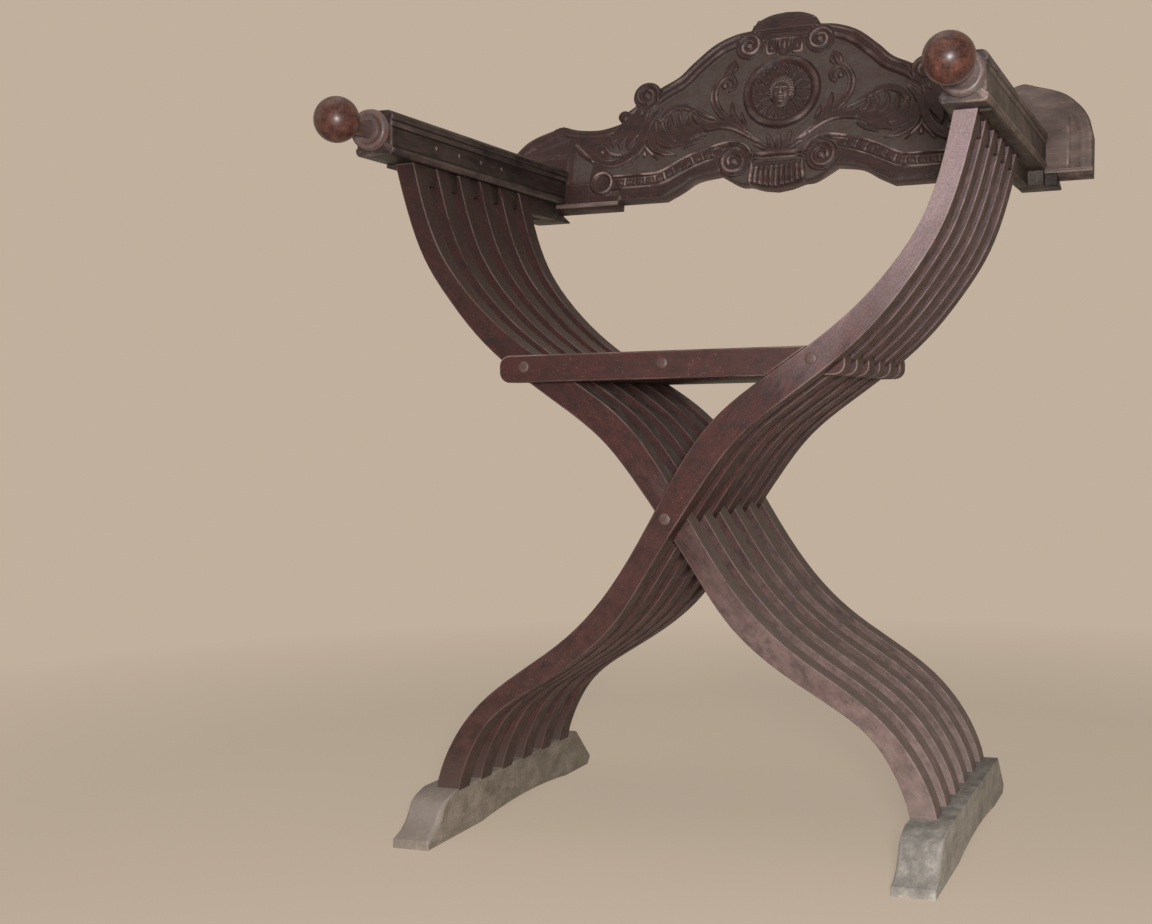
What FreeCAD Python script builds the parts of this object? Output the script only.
import FreeCAD, Part
import math
import os

# Savonarola armchair. Two frames of curved slats cross like scissors on one long rod,
# a slatted seat is pinned to both frames and hinged in its middle, each frame ends in a
# moulded arm above and a long foot below, and a carved crest joins the arms at the back.
# X runs to the sitter's left as seen from the front, Y runs to the back, Z is up.
# While it is built, Y starts at the front face of the first slat.

# Driving dimensions in millimetres
slat_pairs = 6
slat_thickness = 26.4
slat_gap = 0.6
slat_width = 30.0
slat_top_x = 297.5
slat_foot_x = 247.0
pivot_z = 333.5
seat_pin_x = 150.0
seat_pin_z = 488.5
arm_bottom_z = 711.0
rod_radius = 6.0
rod_proud = 0.8
rod_clearance = 0.05

# Seat rails
rail_above_pin = 12.0
rail_below_pin = 16.0
rail_nose = 27.0
rail_nose_radius = 11.0
rail_end_gap = 0.8

# Arms, cleats and the turned finials
arm_width = 45.0
arm_height = 46.0
arm_outset = 3.0
arm_front = 32.0
cleat_width = 32.0
cleat_height = 20.0
cleat_outset = 7.5
cleat_setback = 3.0
cleat_recess = 17.5
cleat_plate = 3.2
cleat_end = 14.0
housing_gap = 0.3
plug_radius = 4.0
plug_length = 12.0
plug_first = 68.0
plug_pitch = 55.5
plug_rise = 20.0
plug_count = 4
plug_proud = 0.4
ball_radius = 23.0
ball_ahead = 74.0
finial_rise = 25.0
finial_neck_radius = 9.0
finial_ring_radius = 21.5
finial_ring_half = 7.0
finial_recess = 4.0
tenon_radius = 8.0
tenon_length = 22.0

# Feet
foot_top_z = 48.0
foot_inner_x = 234.0
foot_width = 41.0
foot_toe = 70.0
foot_heel = 44.6
foot_arch = 6.0
foot_edge = 9.0

# Crest rail, leaning back
crest_overhang = 72.5
crest_rise = 248.7
crest_thickness = 22.0
crest_drop = 6.0
crest_setback = 99.7
crest_lean = math.radians(16.0)
crest_gap = 0.3
shoulder_volute_radius = 19.0
lower_volute_radius = 18.0
ledge_inner_x = 205.0
ledge_proud = 4.0
crest_foot_width = 46.0
crest_foot_depth = 46.0
crest_foot_gap = 0.7
peg_radius = 5.0
peg_length = 18.0
peg_rise = 30.0
peg_root = 12.0
slot_clearance = 0.8

# One overrun serves every cut
overrun = 5.0

slot_pitch = slat_thickness + slat_gap
slot_count = slat_pairs + slat_pairs
stack_depth = slot_count * slot_pitch - slat_gap
arm_centre_x = slat_top_x + arm_outset
cleat_centre_x = slat_top_x + cleat_outset
crest_half_width = arm_centre_x + crest_overhang
crest_bottom_z = arm_bottom_z - crest_drop
crest_bottom_y = stack_depth + crest_setback
lean_sine = math.sin(crest_lean)
lean_cosine = math.cos(crest_lean)
ledge_height = (arm_bottom_z - crest_bottom_z - crest_gap - ledge_proud * lean_sine) / lean_cosine

# The model is moved so that its origin is under the middle of the whole chair
chair_front = -arm_front - ball_ahead - ball_radius
chair_back = crest_bottom_y + crest_rise * lean_sine + crest_thickness * lean_cosine
depth_centre = (chair_front + chair_back) / 2

RIGHT = 1
LEFT = -1
ALONG_Y = FreeCAD.Vector(0, 1, 0)
ALONG_X = FreeCAD.Vector(1, 0, 0)


def point(x, y, z):
    return FreeCAD.Vector(x, y, z)


def slot_front(slot):
    return slot * slot_pitch


def block(x_range, y_range, z_range):
    low = point(min(x_range), y_range[0], z_range[0])
    return Part.makeBox(abs(x_range[1] - x_range[0]), y_range[1] - y_range[0], z_range[1] - z_range[0], low)


def round_bar(radius, start, length, direction=ALONG_Y):
    return Part.makeCylinder(radius, length, start, direction)


def segment(a, b):
    return Part.LineSegment(a, b).toShape()


def curve(points):
    spline = Part.BSplineCurve()
    spline.interpolate(points)
    return spline.toShape()


def extrude(edges, direction):
    face = Part.Face(Part.Wire(edges))
    return face.extrude(direction)


def polygon(points):
    return [segment(a, b) for a, b in zip(points, points[1:] + points[:1])]


# Centre line of a slat of the frame that carries the right arm, from its foot at the left
# to its arm at the right: places as shares of the spans between foot, pivot, seat pin and
# arm, with the slat's width there as a share of slat_width.
foot_span_shares = [(1.0, 1.0, 0.87), (0.925, 0.835, 0.77), (0.826, 0.718, 0.68), (0.652, 0.602, 0.73),
                    (0.425, 0.471, 0.82), (0.267, 0.344, 0.87), (0.12, 0.166, 0.8)]
seat_span_shares = [(0.0, 0.0, 0.87), (0.2, 0.3, 1.0), (0.417, 0.561, 1.03),
                    (0.767, 0.826, 0.98), (1.043, 1.01, 0.92)]
arm_span_shares = [(0.36, 0.18, 0.82), (0.6, 0.36, 0.71), (0.78, 0.54, 0.68),
                   (0.905, 0.75, 0.68), (1.0, 1.0, 0.75)]


def slat_stations():
    stations = []
    for x_share, z_share, width_share in foot_span_shares:
        z = pivot_z - z_share * (pivot_z - foot_top_z)
        stations.append((-x_share * slat_foot_x, z, width_share * slat_width))
    for x_share, z_share, width_share in seat_span_shares:
        z = pivot_z + z_share * (seat_pin_z - pivot_z)
        stations.append((x_share * seat_pin_x, z, width_share * slat_width))
    for x_share, z_share, width_share in arm_span_shares:
        x = seat_pin_x + x_share * (slat_top_x - seat_pin_x)
        z = seat_pin_z + z_share * (arm_bottom_z - seat_pin_z)
        stations.append((x, z, width_share * slat_width))
    return stations


def slat_edges(side, y):
    # Upper and lower edge points of a slat, with level cuts at foot and arm
    stations = slat_stations()
    last = len(stations) - 1
    upper = []
    lower = []
    for index, (x, z, width) in enumerate(stations):
        before = stations[max(index - 1, 0)]
        after = stations[min(index + 1, last)]
        run = math.hypot(after[0] - before[0], after[1] - before[1])
        across_x = (after[1] - before[1]) / run
        across_z = (before[0] - after[0]) / run
        if index in (0, last):
            across_x = 1.0
            across_z = 0.0
        half = width / 2
        upper.append(point(side * (x - across_x * half), y, z - across_z * half))
        lower.append(point(side * (x + across_x * half), y, z + across_z * half))
    return upper, lower


def slat(side, slot):
    y = slot_front(slot)
    upper, lower = slat_edges(side, y)
    outline = [curve(upper), segment(upper[-1], lower[-1]), curve(lower), segment(lower[0], upper[0])]
    body = extrude(outline, point(0, slat_thickness, 0))
    bore = rod_radius + rod_clearance
    for x, z in ((0, pivot_z), (side * seat_pin_x, seat_pin_z)):
        start = point(x, y - overrun, z)
        body = body.cut(round_bar(bore, start, slat_thickness + overrun + overrun))
    return body


def inner_edge_x(z):
    # Where the upper edge of a right-hand slat crosses height z, beside the seat
    upper = slat_edges(RIGHT, 0)[0]
    for low, high in zip(upper, upper[1:]):
        if low.z <= z <= high.z:
            return low.x + (high.x - low.x) * (z - low.z) / (high.z - low.z)
    return seat_pin_x


def rail(side, slot):
    # A seat rail pinned to the frame on one side and cut to the slope of the other frame's slats
    y = slot_front(slot)
    top = seat_pin_z + rail_above_pin
    bottom = seat_pin_z - rail_below_pin
    nose = seat_pin_x + rail_nose
    bend = rail_nose_radius
    tip_top = inner_edge_x(top) - rail_end_gap
    tip_bottom = inner_edge_x(bottom) - rail_end_gap
    corner = bend * (1 - math.sqrt(2) / 2)

    def at(x, z):
        return point(side * x, y, z)

    outline = [
        segment(at(-tip_bottom, bottom), at(nose - bend, bottom)),
        Part.Arc(at(nose - bend, bottom), at(nose - corner, bottom + corner), at(nose, bottom + bend)).toShape(),
        segment(at(nose, bottom + bend), at(nose, top - bend)),
        Part.Arc(at(nose, top - bend), at(nose - corner, top - corner), at(nose - bend, top)).toShape(),
        segment(at(nose - bend, top), at(-tip_top, top)),
        segment(at(-tip_top, top), at(-tip_bottom, bottom)),
    ]
    body = extrude(outline, point(0, slat_thickness, 0))
    bore = rod_radius + rod_clearance
    for x in (0, side * seat_pin_x):
        start = point(x, y - overrun, seat_pin_z)
        body = body.cut(round_bar(bore, start, slat_thickness + overrun + overrun))
    return body


def long_rod(x, z):
    return round_bar(rod_radius, point(x, -rod_proud, z), stack_depth + rod_proud + rod_proud)


def middle_rod():
    # One length of rod in each left-hand rail, so that the rails can part as they fold
    lengths = []
    for slot in range(0, slot_count, 2):
        proud = rod_proud if slot == 0 else 0
        lengths.append(round_bar(rod_radius, point(0, slot_front(slot) - proud, seat_pin_z), slat_thickness + proud))
    return Part.makeCompound(lengths)


def crest_place(shape):
    # From the upright drawing plane to the crest's own leaning place
    shape = shape.copy()
    shape.rotate(point(0, 0, 0), ALONG_X, -math.degrees(crest_lean))
    shape.translate(point(0, crest_bottom_y, crest_bottom_z))
    return shape


def behind_crest_face(clearance):
    # Everything behind the crest's front face, for cutting what butts against it
    size = crest_half_width + crest_half_width
    half_space = Part.makeBox(size, size, size, point(-size / 2, -clearance, -size / 2))
    return crest_place(half_space)


# Section of an arm as shares of its width and height, on one side of its middle
arm_section_shares = [(0.42, 0.0), (0.5, 0.09), (0.5, 0.17), (0.45, 0.22), (0.45, 0.6),
                      (0.48, 0.66), (0.48, 0.74), (0.5, 0.8), (0.48, 0.93), (0.38, 1.0)]


def arm(side):
    section = []
    for x_share, z_share in arm_section_shares:
        section.append(point(x_share * arm_width, 0, z_share * arm_height))
    mirrored = [point(-corner.x, 0, corner.z) for corner in reversed(section)]
    run = arm_front + crest_bottom_y + arm_height
    bar = extrude(polygon(section + mirrored), point(0, run, 0))
    bar.translate(point(side * arm_centre_x, -arm_front, arm_bottom_z))
    bar = bar.cut(behind_crest_face(crest_gap))
    tenon_start = point(side * arm_centre_x, -arm_front - overrun, arm_bottom_z + finial_rise)
    bar = bar.cut(round_bar(tenon_radius + rod_clearance, tenon_start, overrun + tenon_length + housing_gap))
    bar = bar.cut(plugs(side, rod_clearance))
    if side == LEFT:
        return bar.cut(leaving_slot())
    return bar.cut(crest_peg(side, rod_clearance))


def plugs(side, clearance):
    # Plug ends in the arm's inner face
    face_x = arm_centre_x - arm_section_shares[3][0] * arm_width
    inward = point(side, 0, 0)
    bars = []
    for index in range(plug_count):
        y = plug_first + index * plug_pitch
        start = point(side * (face_x - plug_proud - clearance), y, arm_bottom_z + plug_rise)
        length = plug_length + plug_proud + clearance + clearance
        bars.append(round_bar(plug_radius + clearance, start, length, inward))
    return Part.makeCompound(bars)


def cleat(side):
    # The comb under the arm that houses the tops of the slats. Between them its core stands
    # back from their outer faces, under a thin plate that runs from the first slat to the end
    inner = cleat_centre_x - cleat_width / 2
    outer = cleat_centre_x + cleat_width / 2
    first_slot = 0 if side == RIGHT else 1
    front = slot_front(first_slot) + cleat_setback
    back = crest_bottom_y - ledge_proud - crest_foot_gap
    low = arm_bottom_z - cleat_height
    strip = block((side * inner, side * outer), (front, back), (low, arm_bottom_z))
    recess_x = (side * (outer - cleat_recess), side * (outer + overrun))
    recess_y = (front - overrun, back - cleat_end)
    strip = strip.cut(block(recess_x, recess_y, (low - overrun, arm_bottom_z - cleat_plate)))
    notch_outer = slat_top_x + arm_span_shares[-1][2] * slat_width / 2 + housing_gap
    for slot in range(first_slot, slot_count, 2):
        y = slot_front(slot) - housing_gap
        y_range = (y, y + slat_thickness + housing_gap + housing_gap)
        notch = block((side * (inner - overrun), side * notch_outer), y_range, (low - overrun, arm_bottom_z + overrun))
        strip = strip.cut(notch)
    return strip


def finial(side):
    # Ball, neck, ring and tenon turned in one piece on an axis along Y
    ball_y = -arm_front - ball_ahead
    neck = finial_neck_radius
    neck_y = ball_y + math.sqrt(ball_radius ** 2 - neck ** 2)
    ring_front = -arm_front - finial_ring_half - finial_ring_half
    shank = finial_ring_radius - finial_ring_half
    tenon_end = tenon_length - arm_front
    ball_front = point(0, ball_y - ball_radius, 0)
    ball_back = point(neck, neck_y, 0)
    recess = point(neck, ring_front + finial_recess, 0)
    ring_start = point(shank, ring_front, 0)
    ring_middle = point(finial_ring_radius, ring_front + finial_ring_half, 0)
    ring_end = point(shank, -arm_front, 0)
    profile = [
        Part.Arc(ball_front, point(ball_radius, ball_y, 0), ball_back).toShape(),
        segment(ball_back, recess),
        segment(recess, ring_start),
        Part.Arc(ring_start, ring_middle, ring_end).toShape(),
        segment(ring_end, point(tenon_radius, -arm_front, 0)),
        segment(point(tenon_radius, -arm_front, 0), point(tenon_radius, tenon_end, 0)),
        segment(point(tenon_radius, tenon_end, 0), point(0, tenon_end, 0)),
        segment(point(0, tenon_end, 0), ball_front),
    ]
    turned = Part.Face(Part.Wire(profile)).revolve(point(0, 0, 0), ALONG_Y, 360)
    turned.translate(point(side * arm_centre_x, 0, arm_bottom_z + finial_rise))
    return turned


# Toe outline of a foot as shares of foot_toe ahead of the first slat and of foot_top_z
toe_shares = [(1.0, 0.2), (0.86, 0.3), (0.64, 0.5), (0.46, 0.8), (0.24, 0.93), (0.0, 1.0)]
pad_shares = (0.13, 0.66)
arch_ramp_share = 0.06


def foot(side):
    # A long foot whose underside is hollowed between a front and a back pad
    heel_y = stack_depth + foot_heel
    length = foot_toe + heel_y
    front_pad = pad_shares[0] * length
    back_pad = pad_shares[1] * length
    ramp = arch_ramp_share * length
    x = side * foot_inner_x
    toe = [point(x, -y_share * foot_toe, z_share * foot_top_z) for y_share, z_share in toe_shares]
    heel_top = stack_depth
    outline = [
        segment(point(x, -foot_toe, 0), toe[0]),
        curve(toe),
        segment(toe[-1], point(x, heel_top, foot_top_z)),
        segment(point(x, heel_top, foot_top_z), point(x, heel_y, foot_edge)),
        segment(point(x, heel_y, foot_edge), point(x, heel_y - foot_edge, 0)),
        segment(point(x, heel_y - foot_edge, 0), point(x, back_pad, 0)),
        segment(point(x, back_pad, 0), point(x, back_pad - ramp, foot_arch)),
        segment(point(x, back_pad - ramp, foot_arch), point(x, front_pad + ramp, foot_arch)),
        segment(point(x, front_pad + ramp, foot_arch), point(x, front_pad, 0)),
        segment(point(x, front_pad, 0), point(x, -foot_toe, 0)),
    ]
    return extrude(outline, point(side * foot_width, 0, 0))


# Half outline of the crest as shares of its half width and of its rise
end_shares = [(1.0, 0.195), (0.985, 0.281), (0.954, 0.352), (0.9, 0.418), (0.79, 0.475)]
dip_shares = [(0.79, 0.475), (0.72, 0.446), (0.64, 0.438), (0.565, 0.463)]
arch_shares = [(0.55, 0.524), (0.44, 0.638), (0.37, 0.695), (0.32, 0.767), (0.25, 0.855), (0.18, 0.901), (0.12, 0.915)]
hood_shares = [(0.12, 0.915), (0.1, 0.958), (0.055, 0.99), (0.0, 1.0)]
skirt_shares = [(0.55, 0.034), (0.39, 0.034), (0.335, 0.075), (0.28, 0.12), (0.2, 0.134)]
shell_shares = [(0.2, 0.134), (0.13, 0.07), (0.09, 0.062), (0.05, 0.035), (0.0, 0.024)]
shoulder_volute_share = (0.48, 0.606)
lower_volute_share = (0.147, 0.185)


def crest_points(shares, side):
    return [point(side * x_share * crest_half_width, 0, z_share * crest_rise) for x_share, z_share in shares]


def crest_half_edges(side):
    end = crest_points(end_shares, side)
    dip = crest_points(dip_shares, side)
    arch = crest_points(arch_shares, side)
    hood = crest_points(hood_shares, side)
    skirt = crest_points(skirt_shares, side)
    shell = crest_points(shell_shares, side)
    corner = point(side * crest_half_width, 0, 0)
    ledge_end = point(side * ledge_inner_x, 0, 0)
    return [
        segment(corner, end[0]), curve(end), curve(dip), segment(dip[-1], arch[0]), curve(arch), curve(hood),
        segment(corner, ledge_end), segment(ledge_end, skirt[0]), segment(skirt[0], skirt[1]),
        curve(skirt[1:]), curve(shell),
    ]


def crest_board():
    edges = crest_half_edges(RIGHT) + crest_half_edges(LEFT)
    wire = Part.Wire(Part.__sortEdges__(edges))
    board = Part.Face(wire).extrude(point(0, crest_thickness, 0))
    for side in (RIGHT, LEFT):
        for share, radius in ((shoulder_volute_share, shoulder_volute_radius),
                              (lower_volute_share, lower_volute_radius)):
            centre = crest_points([share], side)[0]
            board = board.fuse(round_bar(radius, centre, crest_thickness))
    board = crest_place(board.removeSplitter())
    for side in (RIGHT, LEFT):
        board = board.cut(crest_peg(side, rod_clearance))
    return board


def crest_ledge(side):
    # The strip along the foot of each end of the crest, just below the arm
    strip = block((side * ledge_inner_x, side * crest_half_width), (-ledge_proud, 0), (0, ledge_height))
    return crest_place(strip)


def crest_foot(side):
    # A block under each end of the crest, behind the cleat and wider than it
    inner = cleat_centre_x - cleat_width / 2
    outer = inner + crest_foot_width
    front = crest_bottom_y - ledge_proud
    lean_drop = crest_foot_depth * lean_sine
    z_range = (arm_bottom_z - cleat_height, crest_bottom_z + lean_drop)
    body = block((side * inner, side * outer), (front, front + crest_foot_depth), z_range)
    size = crest_half_width + crest_half_width
    above = Part.makeBox(size, size, size, point(-size / 2, -size / 2, 0))
    return body.cut(crest_place(above))


def crest_peg(side, clearance):
    # The peg that joins the crest to an arm, let into both
    radius = peg_radius + clearance
    z = arm_bottom_z + peg_rise
    face_y = crest_bottom_y + (z - crest_bottom_z) * lean_sine / lean_cosine
    start = point(side * arm_centre_x, face_y - peg_length - clearance, z)
    return round_bar(radius, start, peg_length + peg_root + clearance + clearance)


def leaving_slot():
    # The left arm swings away from the peg about the pivot: its slot opens outwards and downwards
    x = -arm_centre_x
    z = arm_bottom_z + peg_rise
    face_y = crest_bottom_y + (z - crest_bottom_z) * lean_sine / lean_cosine
    reach = arm_width
    half = peg_radius + slot_clearance
    depth = peg_length + arm_height
    arm_radius = math.hypot(x, z - pivot_z)
    slope = math.degrees(math.atan2(-x / arm_radius, (z - pivot_z) / arm_radius))
    start_y = face_y - peg_length - slot_clearance
    slot = Part.makeBox(reach, depth, half + half, point(-reach, 0, -half))
    slot = slot.fuse(round_bar(half, point(0, 0, 0), depth))
    slot.rotate(point(0, 0, 0), ALONG_Y, -slope)
    slot.translate(point(x, start_y, z))
    return slot


def save(name, shape):
    shape = shape.copy()
    shape.translate(point(0, -depth_centre, 0))
    shape.exportStep("parts/" + name + ".step")


def build():
    os.makedirs("parts", exist_ok=True)
    for pair in range(slat_pairs):
        number = str(pair + 1)
        front_slot = pair + pair
        back_slot = front_slot + 1
        save("right_slat_" + number, slat(RIGHT, front_slot))
        save("left_slat_" + number, slat(LEFT, back_slot))
        save("left_rail_" + number, rail(LEFT, front_slot))
        save("right_rail_" + number, rail(RIGHT, back_slot))
    save("pivot_rod", long_rod(0, pivot_z))
    save("right_seat_rod", long_rod(seat_pin_x, seat_pin_z))
    save("left_seat_rod", long_rod(-seat_pin_x, seat_pin_z))
    save("middle_rod", middle_rod())
    save("crest_board", crest_board())
    for side, word in ((RIGHT, "right"), (LEFT, "left")):
        opposite = "left" if side == RIGHT else "right"
        save(word + "_arm", arm(side))
        save(word + "_cleat", cleat(side))
        save(word + "_finial", finial(side))
        save(word + "_arm_plugs", plugs(side, 0))
        save(opposite + "_foot", foot(-side))
        save("crest_ledge_" + word, crest_ledge(side))
        save("crest_foot_" + word, crest_foot(side))
        save("crest_peg_" + word, crest_peg(side, 0))


build()
